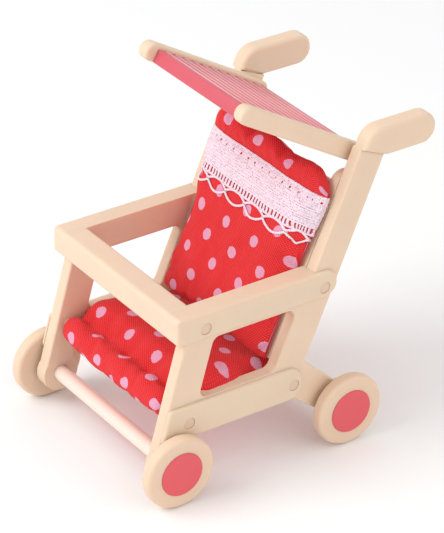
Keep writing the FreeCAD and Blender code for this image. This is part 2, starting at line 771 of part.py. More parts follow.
def make_lace():
    body = make_body("lace_band")
    half = back_half - size.lace_inset
    outline = (
        (pad_face(lace_low) - size.lace_gap, lace_low),
        (pad_face(lace_high) - size.lace_gap, lace_high),
        (pad_face(lace_high) - size.lace_gap - size.lace_thick, lace_high),
        (pad_face(lace_low) - size.lace_gap - size.lace_thick, lace_low),
    )
    add_plate(body, "band", 1, -half, half, outline)


for name, side in SIDES.items():
    make_side_frame(name, side)
    make_armrest(name, side)
    make_lower_rail(name, side)
    make_pins("armrest_pins_" + name, side, arm_pins)
    make_pins("rail_pins_" + name, side, rail_pins)
    make_grip(name, side)
    make_slat(name, side)
    make_hood_arm(name, side)
    make_hood_pin(name, side)
make_front_bar()
for label, place in rod_places.items():
    make_rod(label, place)
make_hood_panel()
for end, axle_y in (("front", NOTHING), ("rear", rear_axle)):
    make_axle(end, axle_y)
    for name, side in SIDES.items():
        make_wheel(end, name, side, axle_y)
        make_hub_cap(end, name, side, axle_y)
make_seat_pad()
make_back_pad()
make_lace()
doc.recompute()

for item in doc.Objects:
    if "Invalid" in item.State or "Error" in item.State:
        raise ValueError(item.Label + " failed: " + ", ".join(item.State))
os.makedirs("parts", exist_ok=True)
for body in doc.findObjects("PartDesign::Body"):
    if body.Shape.isNull() or not body.Shape.isValid():
        raise ValueError(body.Label + " has no valid shape")
for body in doc.findObjects("PartDesign::Body"):
    body.Shape.exportStep("parts/%s.step" % body.Label)
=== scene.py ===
import bmesh
import bpy
import json
import math
from mathutils import Matrix, Vector, noise
from mathutils.bvhtree import BVHTree


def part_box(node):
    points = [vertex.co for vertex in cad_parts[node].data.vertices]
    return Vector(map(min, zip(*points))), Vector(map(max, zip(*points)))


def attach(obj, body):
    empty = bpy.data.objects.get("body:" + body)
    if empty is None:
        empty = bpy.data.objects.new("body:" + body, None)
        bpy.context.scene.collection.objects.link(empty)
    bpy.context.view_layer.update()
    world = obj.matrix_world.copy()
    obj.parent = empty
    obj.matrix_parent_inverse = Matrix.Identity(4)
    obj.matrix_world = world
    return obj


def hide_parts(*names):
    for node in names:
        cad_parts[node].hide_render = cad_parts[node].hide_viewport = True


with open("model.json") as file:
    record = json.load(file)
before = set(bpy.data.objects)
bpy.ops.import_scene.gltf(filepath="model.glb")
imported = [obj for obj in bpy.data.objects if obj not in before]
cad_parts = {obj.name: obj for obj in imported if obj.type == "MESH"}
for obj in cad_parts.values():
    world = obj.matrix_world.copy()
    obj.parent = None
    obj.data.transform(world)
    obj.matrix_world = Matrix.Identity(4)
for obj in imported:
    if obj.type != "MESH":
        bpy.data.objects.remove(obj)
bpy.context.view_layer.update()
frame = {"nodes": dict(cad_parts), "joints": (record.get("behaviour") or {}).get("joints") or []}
MM = 0.001

# --- Studio: a pale table that runs out of sight, a large soft lamp ahead of the stroller, a weaker one
# on its left and an even white surround. The camera stands high on the front left with a long lens.
camera_azimuth = math.radians(54.76)
camera_height = math.radians(30.37)
camera_roll = math.radians(1.04)
camera_data = bpy.data.cameras.new("view")
camera_data.lens = 199.3
camera_data.sensor_width = 36
camera_data.clip_end = 10
camera = bpy.data.objects.new("view", camera_data)
bpy.context.scene.collection.objects.link(camera)
back_way = Vector((math.cos(camera_height) * math.sin(camera_azimuth),
                   -math.cos(camera_height) * math.cos(camera_azimuth),
                   math.sin(camera_height)))
turn = back_way.to_track_quat("Z", "Y").to_matrix() @ Matrix.Rotation(camera_roll, 3, "Z")
camera.matrix_world = Matrix.Translation((0.4053, -0.28653, 0.3233)) @ turn.to_4x4()
bpy.context.scene.camera = camera
bpy.context.scene.view_settings.view_transform = "Standard"


def soft_lamp(name, place, across, power, colour):
    """A square lamp that looks at the middle of the stroller."""
    data = bpy.data.lights.new(name, "AREA")
    data.size = across
    data.energy = power
    data.color = colour
    lamp = bpy.data.objects.new(name, data)
    aim = Vector((0, 0, 0.035)) - Vector(place)
    lamp.matrix_world = Matrix.Translation(place) @ aim.to_track_quat("-Z", "Y").to_matrix().to_4x4()
    bpy.context.scene.collection.objects.link(lamp)


soft_lamp("front_lamp", (-0.12, -0.42, 0.40), 0.35, 1.65, (0.97, 1.0, 1.0))
soft_lamp("side_lamp", (0.45, 0.10, 0.30), 0.40, 0.40, (1.0, 0.95, 0.90))
surround = bpy.data.worlds.new("surround")
surround.use_nodes = True
surround.node_tree.nodes["Background"].inputs["Color"].default_value = (1, 1, 1, 1)
surround.node_tree.nodes["Background"].inputs["Strength"].default_value = 0.82
bpy.context.scene.world = surround


def new_material(name, colour, roughness):
    """A material with its shader and a short way to add nodes to it."""
    material = bpy.data.materials.new(name)
    material.use_nodes = True
    shader = material.node_tree.nodes["Principled BSDF"]
    shader.inputs["Base Color"].default_value = (*colour, 1)
    shader.inputs["Roughness"].default_value = roughness
    return material, shader


def add_node(material, kind, links=(), **values):
    """A node whose inputs are set by name, or joined to the outputs given in links."""
    node = material.node_tree.nodes.new(kind)
    for key, value in values.items():
        if hasattr(node, key):
            setattr(node, key, value)
        else:
            node.inputs[key.replace("_", " ").title()].default_value = value
    for socket, output in dict(links).items():
        material.node_tree.links.new(output, node.inputs[socket])
    return node


floor_mesh = bpy.data.meshes.new("table")
floor_mesh.from_pydata([(-3, -3, 0), (3, -3, 0), (3, 3, 0), (-3, 3, 0)], [], [(0, 1, 2, 3)])
floor = bpy.data.objects.new("table", floor_mesh)
bpy.context.scene.collection.objects.link(floor)
floor_material, floor_shader = new_material("pale_table", (0.93, 0.93, 0.93), 0.9)
floor_mesh.materials.append(floor_material)


# --- Frame mouldings: side frames, armrests, rails, grips, slats, front bar and canopy arms in a cream
# plastic. The moulded skin is satin with a very fine grain, a little cloudy in tone, a little
# see-through where it is thin, and paler where handling has polished its edges.
CREAM_PIECES = ("side_frame", "armrest", "lower_rail", "handle_grip", "back_slat", "canopy_arm")


def moulded(name, colour, roughness, cloud, glow):
    """Satin moulded plastic: cloudy tone, fine grain and edges rubbed pale."""
    material, shader = new_material(name, colour, roughness)
    link = material.node_tree.links.new
    place = add_node(material, "ShaderNodeTexCoord").outputs["Object"]
    clouds = add_node(material, "ShaderNodeTexNoise", {"Vector": place}, Scale=90, Detail=3)
    darker = [part * (1 - cloud) for part in colour]
    paler = [min(1, part * (1 + cloud)) for part in colour]
    tone = add_node(material, "ShaderNodeMix", {"Factor": clouds.outputs["Fac"]}, data_type="RGBA")
    tone.inputs["A"].default_value = (*darker, 1)
    tone.inputs["B"].default_value = (*paler, 1)
    edge = add_node(material, "ShaderNodeBevel", samples=4, Radius=0.35 * MM)
    skin = add_node(material, "ShaderNodeNewGeometry")
    flat = add_node(material, "ShaderNodeVectorMath", operation="DOT_PRODUCT")
    link(edge.outputs["Normal"], flat.inputs[0])
    link(skin.outputs["Normal"], flat.inputs[1])
    rub = add_node(material, "ShaderNodeMapRange", {"Value": flat.outputs["Value"]})
    rub.inputs["From Min"].default_value = 0.97
    rub.inputs["From Max"].default_value = 0.80
    patches = add_node(material, "ShaderNodeTexNoise", {"Vector": place}, Scale=420, Detail=2)
    worn = add_node(material, "ShaderNodeMath", operation="MULTIPLY")
    link(rub.outputs["Result"], worn.inputs[0])
    link(patches.outputs["Fac"], worn.inputs[1])
    rubbed = add_node(material, "ShaderNodeMix", data_type="RGBA")
    link(worn.outputs["Value"], rubbed.inputs["Factor"])
    link(tone.outputs["Result"], rubbed.inputs["A"])
    rubbed.inputs["B"].default_value = (*[min(1, part * 1.12 + 0.02) for part in colour], 1)
    link(rubbed.outputs["Result"], shader.inputs["Base Color"])
    gloss = add_node(material, "ShaderNodeMapRange", {"Value": patches.outputs["Fac"]})
    gloss.inputs["To Min"].default_value = roughness - 0.06
    gloss.inputs["To Max"].default_value = roughness + 0.08
    link(gloss.outputs["Result"], shader.inputs["Roughness"])
    grain = add_node(material, "ShaderNodeTexNoise", {"Vector": place}, Scale=4200, Detail=2)
    bump = add_node(material, "ShaderNodeBump", {"Height": grain.outputs["Fac"]}, Strength=0.12,
                    Distance=0.03 * MM)
    link(bump.outputs["Normal"], shader.inputs["Normal"])
    shader.inputs["Subsurface Weight"].default_value = glow
    shader.inputs["Subsurface Radius"].default_value = (3.0 * MM, 1.3 * MM, 0.6 * MM)
    shader.inputs["Subsurface Scale"].default_value = 1
    return material


def dress(node, material):
    """Gives a piece of the frame its finish."""
    for place in frame["nodes"][node].material_slots:
        place.material = material


cream = moulded("cream_moulding", (0.778, 0.592, 0.437), 0.46, 0.055, 0.18)
for kind in CREAM_PIECES:
    for side in ("left", "right"):
        dress("%s_%s" % (kind, side), cream)
dress("front_bar", cream)


# --- Pins and rods: the pins that hold rails and armrests, the cross rods behind the cushions, the
# canopy's pivot pins and the two axles, all turned from a slightly pinker and smoother plastic.
pin_finish = moulded("pin_moulding", (0.735, 0.525, 0.385), 0.40, 0.04, 0.12)
rod_finish = moulded("rod_moulding", (0.90, 0.72, 0.62), 0.34, 0.03, 0.12)
for side in ("left", "right"):
    for kind in ("armrest_pins", "rail_pins", "canopy_pin"):
        dress("%s_%s" % (kind, side), pin_finish)
for rod in ("seat_front_rod", "seat_rear_rod", "back_lower_rod", "back_upper_rod"):
    dress(rod, pin_finish)
for rod in ("front_axle", "rear_axle"):
    dress(rod, rod_finish)


# --- Wheels and hub caps: a solid cream disc with a rounded tread, a shade warmer than the frame, and
# a flat pink disc let into its outer face.
wheel_finish = moulded("wheel_moulding", (0.780, 0.580, 0.425), 0.50, 0.045, 0.18)
cap_finish = moulded("cap_moulding", (0.745, 0.094, 0.112), 0.42, 0.05, 0.05)
for end in ("front", "rear"):
    for side in ("left", "right"):
        dress("%s_wheel_%s" % (end, side), wheel_finish)
        dress("%s_hub_cap_%s" % (end, side), cap_finish)


# --- Canopy cover: one pink moulding between the canopy's arms, a thin skin with a deep front lip, a
# shallow rear lip, and fine ribs across its upper face. It turns with the arms.
canopy_pitch = math.radians(30.6)
cover_half = 14.38 * MM
cover_front, cover_back = 28.8 * MM, 0.6 * MM
cover_top, cover_under = 1.0 * MM, 1.75 * MM
lip_thick, skin_thick = 1.2 * MM, 0.9 * MM
rib_count, rib_pitch, rib_radius, rib_rise = 11, 2.45 * MM, 0.34 * MM, 0.24 * MM
tilt_joint = next(j for j in frame["joints"] if j["name"] == "canopy_tilt")
pivot = Vector(tilt_joint["pos_m"])
canopy_turn = Matrix.Translation(pivot) @ Matrix.Rotation(-canopy_pitch, 4, "X")
cover_finish = moulded("canopy_moulding", (0.62, 0.092, 0.125), 0.36, 0.05, 0.10)
# The ribs are a paler pink than the cover: a painted highlight along their crests, not a colour of their
# own.
rib_highlight_paint = moulded("canopy_rib_crest", (0.88, 0.40, 0.42), 0.34, 0.06, 0.10)


def piece_from(name, mesh, material, smooth=True):
    """A piece at the origin with its place in its mesh."""
    piece = bpy.data.objects.new(name, mesh)
    bpy.context.scene.collection.objects.link(piece)
    mesh.materials.clear()
    mesh.materials.append(material)
    mesh.polygons.foreach_set("use_smooth", [smooth] * len(mesh.polygons))
    return piece


def swept_across(name, outline, half, rounding):
    """A prism across the stroller of a closed (Y, Z) outline, with rounded edges."""
    form = bmesh.new()
    left = [form.verts.new((half, y, z)) for y, z in outline]
    right = [form.verts.new((-half, y, z)) for y, z in outline]
    form.faces.new(left)
    form.faces.new(reversed(right))
    count = len(outline)
    for i in range(count):
        form.faces.new((left[i], right[i], right[(i + 1) % count], left[(i + 1) % count]))
    bmesh.ops.recalc_face_normals(form, faces=form.faces)
    bmesh.ops.bevel(form, geom=form.edges[:], offset=rounding, segments=3, profile=0.6,
                    affect="EDGES", clamp_overlap=True)
    mesh = bpy.data.meshes.new(name)
    form.to_mesh(mesh)
    form.free()
    return mesh


skin_under = cover_top - skin_thick
cover_outline = (
    (-cover_front, -cover_under),
    (-cover_front, cover_top),
    (cover_back, cover_top),
    (cover_back, skin_under - 0.9 * MM),
    (cover_back - lip_thick, skin_under - 0.9 * MM),
    (cover_back - lip_thick, skin_under),
    (lip_thick - cover_front, skin_under),
    (lip_thick - cover_front, -cover_under),
)
cover_mesh = swept_across("canopy_cover", cover_outline, cover_half, 0.22 * MM)
cover_mesh.transform(canopy_turn)
cover = piece_from("canopy_cover", cover_mesh, cover_finish)
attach(cover, "canopy")
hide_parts("canopy_panel")


def new_tree(name, sizes):
    """An empty geometry tree with named sizes, its input and output nodes."""
    tree = bpy.data.node_groups.new(name, "GeometryNodeTree")
    tree.is_modifier = True
    tree.interface.new_socket(name="Geometry", in_out="INPUT", socket_type="NodeSocketGeometry")
    for label, value in sizes.items():
        whole = isinstance(value, int)
        kind = "NodeSocketInt" if whole else "NodeSocketFloat"
        tree.interface.new_socket(name=label, in_out="INPUT", socket_type=kind)
    tree.interface.new_socket(name="Geometry", in_out="OUTPUT", socket_type="NodeSocketGeometry")
    return tree, tree.nodes.new("NodeGroupInput"), tree.nodes.new("NodeGroupOutput")


def tree_node(tree, kind, links=(), **values):
    """A node of a geometry tree, its inputs joined by links or set by name."""
    node = tree.nodes.new(kind)
    for key, value in values.items():
        if hasattr(node, key):
            setattr(node, key, value)
        else:
            node.inputs[key.replace("_", " ").title()].default_value = value
    for socket, output in dict(links).items():
        tree.links.new(output, node.inputs[socket])
    return node


def finish_tree(tree, output, geometry, material):
    """Realizes a tree's instances and gives them their material."""
    real = tree_node(tree, "GeometryNodeRealizeInstances", {"Geometry": geometry})
    coat = tree_node(tree, "GeometryNodeSetMaterial", {"Geometry": real.outputs["Geometry"]})
    coat.inputs["Material"].default_value = material
    tree.links.new(coat.outputs["Geometry"], output.inputs["Geometry"])


def grown_mesh(name, tree, sizes, base=None):
    """Runs a geometry tree on a base mesh or curve and returns the plain mesh that it makes."""
    holder = bpy.data.objects.new(name + "_base", base or bpy.data.meshes.new(name + "_base"))
    bpy.context.scene.collection.objects.link(holder)
    modifier = holder.modifiers.new("grow", "NODES")
    modifier.node_group = tree
    for item in tree.interface.items_tree:
        if item.in_out == "INPUT" and item.name in sizes:
            modifier[item.identifier] = sizes[item.name]
    bpy.context.view_layer.update()
    ready = holder.evaluated_get(bpy.context.evaluated_depsgraph_get())
    mesh = bpy.data.meshes.new_from_object(ready)
    mesh.name = name
    bpy.data.objects.remove(holder)
    return mesh


rib_sizes = {"Ribs": rib_count, "Pitch": rib_pitch, "Radius": rib_radius, "Width": 2 * cover_half}
tree, given, made = new_tree("canopy_ribs", rib_sizes)
step = tree_node(tree, "ShaderNodeCombineXYZ", {"Y": given.outputs["Pitch"]})
row = tree_node(tree, "GeometryNodeMeshLine",
                {"Count": given.outputs["Ribs"], "Offset": step.outputs["Vector"]})
rib = tree_node(tree, "GeometryNodeMeshCylinder",
                {"Radius": given.outputs["Radius"], "Depth": given.outputs["Width"]}, Vertices=16)
ribs = tree_node(tree, "GeometryNodeInstanceOnPoints",
                 {"Points": row.outputs["Mesh"], "Instance": rib.outputs["Mesh"]})
ribs.inputs["Rotation"].default_value = (0, math.pi / 2, 0)
finish_tree(tree, made, ribs.outputs["Instances"], rib_highlight_paint)
rib_mesh = grown_mesh("canopy_ribs", tree, rib_sizes)
first_rib = Matrix.Translation((0, 1.9 * MM - cover_front, cover_top - rib_radius + rib_rise))
rib_mesh.transform(canopy_turn @ first_rib)
rib_piece = piece_from("canopy_ribs", rib_mesh, rib_highlight_paint)
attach(rib_piece, "canopy")


# --- Seat cushion: two layers of red twill with pink pin dots, sewn round and lightly filled. The front
# is a roll, gathered along a row of tufts behind it, and the seat rises to a crown and falls rearwards.
DOT_COLOUR, RED, DEEP_RED = (0.77, 0.37, 0.52), (0.80, 0.043, 0.048), (0.66, 0.016, 0.022)
UV_PER_METRE = 10
DOT_PITCH_MM = (9.4, 8.9)
DOT_INSIDE_MM, DOT_OUTSIDE_MM, DOT_FRAY_MM = 1.27, 1.38, 0.32


def twill_cloth(name, dot_shift):
    """Printed twill: pin dots in staggered rows, fine slanting ribs and a soft sheen."""
    material, shader = new_material(name, RED, 0.95)
    link = material.node_tree.links.new
    grid = add_node(material, "ShaderNodeUVMap", uv_map="cloth").outputs["UV"]
    place = add_node(material, "ShaderNodeTexCoord").outputs["Object"]

    def rows(shift):
        """Distance from the nearest dot of one half of the staggered rows, in millimetres."""
        put = add_node(material, "ShaderNodeMapping", {"Vector": grid})
        put.inputs["Location"].default_value = (shift[0], shift[1], 0)
        uv_to_mm = 1 / (UV_PER_METRE * MM)
        put.inputs["Scale"].default_value = (*[uv_to_mm / pitch for pitch in DOT_PITCH_MM], 1)
        cell = add_node(material, "ShaderNodeVectorMath", operation="FRACTION")
        link(put.outputs["Vector"], cell.inputs[0])
        centred = add_node(material, "ShaderNodeVectorMath", operation="SUBTRACT")
        link(cell.outputs["Vector"], centred.inputs[0])
        centred.inputs[1].default_value = (0.5, 0.5, 0)
        sized = add_node(material, "ShaderNodeVectorMath", operation="MULTIPLY")
        link(centred.outputs["Vector"], sized.inputs[0])
        sized.inputs[1].default_value = (*DOT_PITCH_MM, 0)
        far = add_node(material, "ShaderNodeVectorMath", operation="LENGTH")
        link(sized.outputs["Vector"], far.inputs[0])
        return far.outputs["Value"]

    nearest = add_node(material, "ShaderNodeMath", operation="MINIMUM")
    link(rows(dot_shift), nearest.inputs[0])
    link(rows((dot_shift[0] + 0.5, dot_shift[1] + 0.5)), nearest.inputs[1])
    frayed = add_node(material, "ShaderNodeTexNoise", {"Vector": place}, Scale=2600, Detail=1)
    edge = add_node(material, "ShaderNodeMath", operation="MULTIPLY_ADD")
    link(frayed.outputs["Fac"], edge.inputs[0])
    edge.inputs[1].default_value = DOT_FRAY_MM
    link(nearest.outputs["Value"], edge.inputs[2])
    dot = add_node(material, "ShaderNodeMapRange", {"Value": edge.outputs["Value"]})
    dot.inputs["From Min"].default_value = DOT_OUTSIDE_MM
    dot.inputs["From Max"].default_value = DOT_INSIDE_MM
    threads = add_node(material, "ShaderNodeMapping", {"Vector": grid})
    threads.inputs["Rotation"].default_value = (0, 0, math.radians(38))
    ribs_over = add_node(material, "ShaderNodeTexWave", {"Vector": threads.outputs["Vector"]},
                         Scale=88, Distortion=0.7, Detail=1)
    across = add_node(material, "ShaderNodeTexWave", {"Vector": threads.outputs["Vector"]},
                      Scale=78, Distortion=0.8, Detail=1, bands_direction="Y")
    weave = add_node(material, "ShaderNodeMath", operation="MULTIPLY")
    link(across.outputs["Fac"], weave.inputs[0])
    link(ribs_over.outputs["Fac"], weave.inputs[1])
    dye = add_node(material, "ShaderNodeTexNoise", {"Vector": place}, Scale=300, Detail=3)
    red = add_node(material, "ShaderNodeMix", {"Factor": weave.outputs["Value"]}, data_type="RGBA")
    red.inputs["A"].default_value = (*DEEP_RED, 1)
    red.inputs["B"].default_value = (0.94, 0.110, 0.108, 1)
    faded = add_node(material, "ShaderNodeMath", operation="MULTIPLY")
    link(dye.outputs["Fac"], faded.inputs[0])
    faded.inputs[1].default_value = 0.4
    toned = add_node(material, "ShaderNodeMix", {"Factor": faded.outputs["Value"]}, data_type="RGBA")
    link(red.outputs["Result"], toned.inputs["A"])
    toned.inputs["B"].default_value = (*RED, 1)
    printed = add_node(material, "ShaderNodeMix", data_type="RGBA")
    link(dot.outputs["Result"], printed.inputs["Factor"])
    link(toned.outputs["Result"], printed.inputs["A"])
    printed.inputs["B"].default_value = (*DOT_COLOUR, 1)
    link(printed.outputs["Result"], shader.inputs["Base Color"])
    bump = add_node(material, "ShaderNodeBump", {"Height": weave.outputs["Value"]}, Strength=0.9,
                    Distance=0.10 * MM)
    link(bump.outputs["Normal"], shader.inputs["Normal"])
    shader.inputs["Sheen Weight"].default_value = 0.06
    shader.inputs["Sheen Roughness"].default_value = 0.5
    shader.inputs["Specular IOR Level"].default_value = 0.08
    return material


def smooth_loop(points, count):
    """Evenly spaced points round a closed smooth curve through given ones, and its length."""
    dense = []
    total = len(points)
    fine = 40
    for i in range(total):
        p0, p1, p2, p3 = (Vector(points[(i + k - 1) % total]) for k in range(4))
        for j in range(fine):
            t = j / fine
            dense.append(0.5 * (2 * p1 + (p2 - p0) * t + (2 * p0 - 5 * p1 + 4 * p2 - p3) * t * t
                                + (3 * p1 - p0 - 3 * p2 + p3) * t * t * t))
    steps = [(dense[(i + 1) % len(dense)] - dense[i]).length for i in range(len(dense))]
    length = sum(steps)
    even = []
    walked, i = 0.0, 0
    for n in range(count):
        target = length * n / count
        while walked + steps[i] < target:
            walked += steps[i]
            i += 1
        share = (target - walked) / steps[i]
        even.append(dense[i].lerp(dense[(i + 1) % len(dense)], share))
    return even, length


def sewn_form(name, loop, length, stations, place, material):
    """A closed cushion from one side-view loop repeated across, its cloth coordinates kept."""
    form = bmesh.new()
    cloth = form.loops.layers.uv.new("cloth")
    rings = []
    for x in stations:
        rings.append([form.verts.new(place(x, point)) for point in loop])
    count = len(loop)

    def corner_uv(corner, station, i):
        """Cloth coordinates: across the stroller, and along the loop."""
        corner[cloth].uv = (stations[station] * UV_PER_METRE, i * length / count * UV_PER_METRE)

    for s in range(len(stations) - 1):
        for i in range(count):
            j = (i + 1) % count
            face = form.faces.new((rings[s][i], rings[s][j], rings[s + 1][j], rings[s + 1][i]))
            around = ((s, i), (s, i + 1), (s + 1, i + 1), (s + 1, i))
            for corner, (station, k) in zip(face.loops, around):
                corner_uv(corner, station, k)
    for station in (0, len(stations) - 1):
        middle = form.verts.new(sum((v.co for v in rings[station]), Vector()) / count)
        for i in range(count):
            face = form.faces.new((rings[station][i], rings[station][(i + 1) % count], middle))
            for corner, k in zip(face.loops, (i, i + 1, i + 0.5)):
                corner_uv(corner, station, k)
    bmesh.ops.recalc_face_normals(form, faces=form.faces)
    mesh = bpy.data.meshes.new(name)
    form.to_mesh(mesh)
    form.free()
    return piece_from(name, mesh, material)


SIM_SCALE = 20
PUFF_PRESSURE = 4.0


def puff(piece, held, slack, most):
    """Fills a sewn cushion by cloth simulation, holding it where it is stitched or rests."""
    rest = [v.co.copy() for v in piece.data.vertices]
    piece.data.transform(Matrix.Scale(SIM_SCALE, 4))
    group = piece.vertex_groups.new(name="held")
    for v in piece.data.vertices:
        weight = held(rest[v.index])
        if weight > 0:
            group.add([v.index], weight, "REPLACE")
    cloth = piece.modifiers.new("fill", "CLOTH")
    cloth.settings.quality = 6
    cloth.settings.mass = 0.3
    cloth.settings.tension_stiffness = 12
    cloth.settings.compression_stiffness = 12
    cloth.settings.shear_stiffness = 5
    cloth.settings.bending_stiffness = 0.35
    cloth.settings.shrink_min = -slack
    cloth.settings.use_pressure = True
    cloth.settings.uniform_pressure_force = PUFF_PRESSURE
    cloth.settings.vertex_group_mass = "held"
    cloth.settings.effector_weights.gravity = 0
    cloth.point_cache.frame_start = 1
    cloth.point_cache.frame_end = 20
    for number in range(1, 21):
        bpy.context.scene.frame_set(number)
    ready = piece.evaluated_get(bpy.context.evaluated_depsgraph_get())
    filled = [v.co / SIM_SCALE for v in ready.data.vertices]
    piece.modifiers.remove(cloth)
    piece.vertex_groups.clear()
    for v in piece.data.vertices:
        move = filled[v.index] - rest[v.index]
        if move.length > most:
            move *= most / move.length
        v.co = rest[v.index] + move
    bpy.context.scene.frame_set(1)


def subdivide(piece):
    """One smooth subdivision, applied."""
    modifier = piece.modifiers.new("smooth", "SUBSURF")
    modifier.levels = 1
    modifier.render_levels = 1
    ready = piece.evaluated_get(bpy.context.evaluated_depsgraph_get())
    mesh = bpy.data.meshes.new_from_object(ready)
    piece.modifiers.clear()
    piece.data = mesh
    mesh.polygons.foreach_set("use_smooth", [True] * len(mesh.polygons))


seat_low, seat_high = (Vector(corner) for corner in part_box("seat_pad"))
seat_half = seat_high.x - 0.3 * MM
SEAT_LOOP_MM = (
    (0.1, 17.6), (0.9, 20.0), (2.7, 21.2), (4.9, 20.3), (6.6, 21.9), (8.8, 22.7), (13.5, 22.3),
    (19.5, 21.0), (26.0, 19.4), (30.2, 18.3), (31.0, 16.6), (28.5, 14.9), (19.0, 14.4),
    (10.0, 14.4), (4.2, 14.7), (1.3, 15.7),
)
seat_points = [(seat_low.y + y * MM, z * MM) for y, z in SEAT_LOOP_MM]
seat_loop, seat_length = smooth_loop(seat_points, 110)
tuft_line = seat_low.y + 4.9 * MM
tuft_pitch = 7.0 * MM
window_front, window_rear, window_sill = seat_low.y + 8.0 * MM, seat_low.y + 24.5 * MM, 20.7 * MM


def seat_place(x, point):
    """A point of the seat cushion: its sides pull in towards the seam at each end."""
    y, z = point
    run = min(1, abs(x) / seat_half)
    thick = max(0.06, 1 - run ** 14) ** 0.42
    spine_y = min(max(y, seat_low.y + 3.2 * MM), seat_low.y + 28.3 * MM)
    spine_z = (17.7 - 1.5 * (spine_y - seat_low.y) / (28.9 * MM)) * MM
    tuck = math.exp(-((y - tuft_line) / (0.9 * MM)) ** 2) if z > spine_z else 0
    gather = 0.5 + 0.5 * math.cos(2 * math.pi * x / tuft_pitch)
    drop = tuck * (0.45 + 0.85 * gather ** 4) * MM
    bulge = 0.10 * MM * math.cos(2 * math.pi * x / tuft_pitch + math.pi)
    near_roll = math.exp(-((y - seat_low.y - 1.5 * MM) / (2.2 * MM)) ** 2)
    pleat = noise.noise(Vector((x / MM * 0.32, y / MM * 0.16, z / MM * 0.2))) * 0.45 * MM
    new_y = spine_y + (y - spine_y) * thick - bulge * near_roll
    new_z = spine_z + (z - spine_z) * thick - drop + pleat * (1 if z > spine_z else 0.4)
    in_window = max(0, min(1, (y - window_front) / (2.5 * MM), (window_rear - y) / (2.5 * MM)))
    over_sill = max(0, min(1, (z - window_sill) / (0.6 * MM))) * max(0, (run - 0.9) / 0.1)
    return x + math.copysign(2.4 * MM * in_window * over_sill, x), new_y, new_z


seat_cloth = twill_cloth("dotted_twill_seat", (0.83, 0.38))
seat_stations = [seat_half * math.sin(math.pi / 2 * (k / 36)) for k in range(-36, 37)]
seat = sewn_form("seat_cushion", seat_loop, seat_length, seat_stations, seat_place, seat_cloth)


def seat_held(co):
    """The tufts, the underside and the end seams stay where they are sewn."""
    tuft = abs(((co.x / tuft_pitch + 0.5) % 1) - 0.5) * tuft_pitch
    at_tuft = abs(co.y - tuft_line) < 0.5 * MM and tuft < 0.7 * MM and co.z > 18 * MM
    under = co.z < 15.3 * MM and co.y > seat_low.y + 3 * MM
    ends = abs(co.x) > seat_half - 0.25 * MM
    return 1.0 if at_tuft or under or ends else 0.0


puff(seat, seat_held, 0.05, 0.45 * MM)
subdivide(seat)
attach(seat, "chassis")
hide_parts("seat_pad")


# --- Back cushion: the same cloth, a long pillow that lies against the posts and slats. It is crowned in
# the middle, thin at its sides, and its top is a wavy roll drawn in by the seam of the lace.
back_low, back_high = (Vector(corner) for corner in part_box("back_pad"))
back_depth = 3.3 * MM
back_half = back_high.x
back_foot = Vector((0, back_low.y + back_depth, back_low.z))
back_head = Vector((0, back_high.y, back_high.z))
back_long = (back_head - back_foot).length
back_up = (back_head - back_foot).normalized()
back_out = Vector((0, -back_up.z, back_up.y))
lace_top_at = back_long - 4.8 * MM
BACK_LOOP_MM = (
    (0.2, 0.6), (1.0, 2.6), (5.0, 3.6), (14.0, 3.9), (24.0, 3.9), (32.0, 3.7), (35.8, 2.9),
    (37.8, 3.7), (40.3, 3.4), (41.5, 1.6), (40.6, 0.2), (30.0, 0.0), (15.0, 0.0), (1.5, 0.0),
)
back_scale = back_long / (41.4 * MM)
back_points = [(t * MM * back_scale, h * MM) for t, h in BACK_LOOP_MM]
back_loop, back_length = smooth_loop(back_points, 120)


def back_place(x, point):
    """A point of the back cushion, from its place along the slant and its height off it."""
    along, height = point
    run = min(1, abs(x) / back_half)
    thick = max(0.05, 1 - run ** 6) ** 0.5
    corner = 2.8 * MM * max(0, (run - 0.74) / 0.26) ** 2.2
    near_top = max(0, min(1, (along - 0.55 * back_long) / (0.45 * back_long)))
    slope = -0.5 * MM * (x / back_half)
    wave = (slope + 0.35 * MM * math.cos(2 * math.pi * x / (12.5 * MM) + 0.36) - 0.6 * MM) * near_top ** 4
    fold = noise.noise(Vector((x / MM * 0.20, along / MM * 0.10, 3.0))) * 0.5 * MM
    ruck = noise.noise(Vector((x / MM * 0.55, along / MM * 0.25, 9.0))) * 0.22 * MM
    front = min(1, height / (2 * MM))
    lift = height * thick + (fold + ruck) * front * thick
    far = along + wave - corner * near_top ** 6
    spot = back_foot + back_up * far + back_out * lift
    above_arms = max(0, min(1, (spot.z - 40.5 * MM) / (10 * MM)))
    drawn_in = (0.12 if x < 0 else 0.05) * math.exp(-((spot.z - 37 * MM) / (7 * MM)) ** 2)
    return x * (1 + 0.075 * above_arms - drawn_in), spot.y, spot.z


back_cloth = twill_cloth("dotted_twill_back", (0.70, 0.06))
back_stations = [back_half * math.sin(math.pi / 2 * (k / 34)) for k in range(-34, 35)]
back = sewn_form("back_cushion", back_loop, back_length, back_stations, back_place, back_cloth)


def slant_of(co):
    """A point's place along the back's slant and its height off it."""
    reach = Vector((0, co.y, co.z)) - back_foot
    return reach.dot(back_up), reach.dot(back_out)


def back_held(co):
    """The rear face, the side seams and the lace's seam stay where they are."""
    along, height = slant_of(co)
    rear = height < 0.35 * MM
    sides = co.x > back_half - 0.2 * MM or co.x < -0.985 * back_half
    seam = abs(along - lace_top_at) < 0.35 * MM
    return 1.0 if rear or sides or seam else 0.0


puff(back, back_held, 0.05, 0.6 * MM)
subdivide(back)
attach(back, "chassis")
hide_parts("back_pad")


